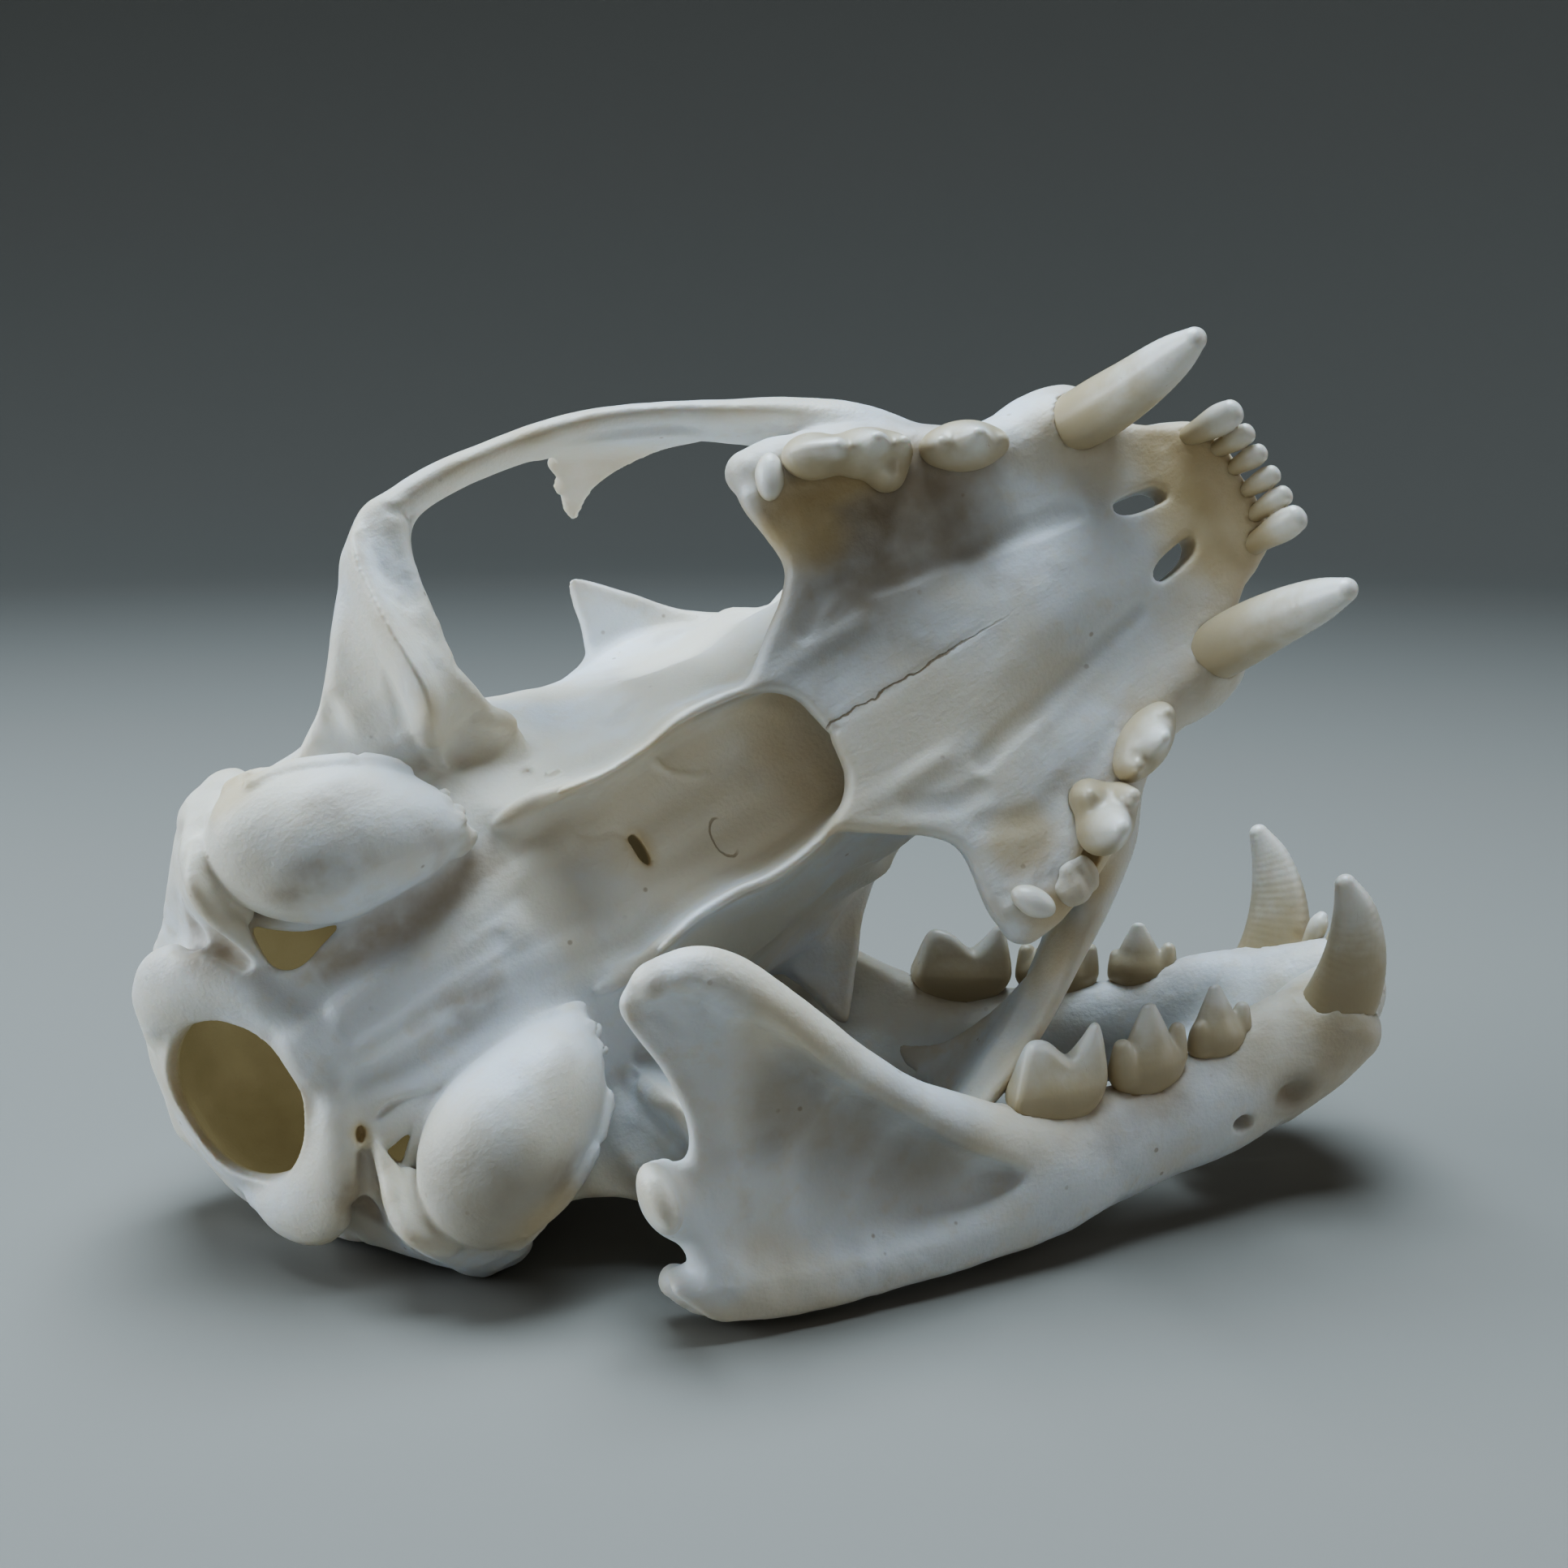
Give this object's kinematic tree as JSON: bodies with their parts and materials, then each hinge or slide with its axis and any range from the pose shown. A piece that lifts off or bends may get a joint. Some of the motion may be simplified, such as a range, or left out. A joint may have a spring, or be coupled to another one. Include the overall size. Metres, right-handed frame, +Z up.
{
  "type": "lynx skull",
  "caption": "Life-size lynx skull: the cranium leans base outward against its lower jaw, which stands on its edge, so the palate, ear bullae and teeth show.",
  "frame": {"origin": "middle of the footprint's box, on the surface that the skull rests on", "axes": "+Z up; +X to the right of the picture's view, towards which both noses point; +Y away from the viewer"},
  "size_m": [0.1312, 0.0806, 0.0904],
  "materials": {
    "bone": "dry, cleaned bone: smooth ivory white with a soft sheen, amber where it is thin or deep",
    "tooth": "yellowish ivory enamel, glossier than the bone, browner towards the roots"
  },
  "bodies": {
    "root": {"cranium": "bone", "mandible_left": "bone", "mandible_right": "bone", "upper_canine_left": "tooth", "upper_canine_right": "tooth", "upper_P3_left": "tooth", "upper_P3_right": "tooth", "upper_P4_left": "tooth", "upper_P4_right": "tooth", "upper_M1_left": "tooth", "upper_M1_right": "tooth", "lower_canine_left": "tooth", "lower_canine_right": "tooth", "lower_p3_left": "tooth", "lower_p3_right": "tooth", "lower_p4_left": "tooth", "lower_p4_right": "tooth", "lower_m1_left": "tooth", "lower_m1_right": "tooth"}
  },
  "joints": []
}
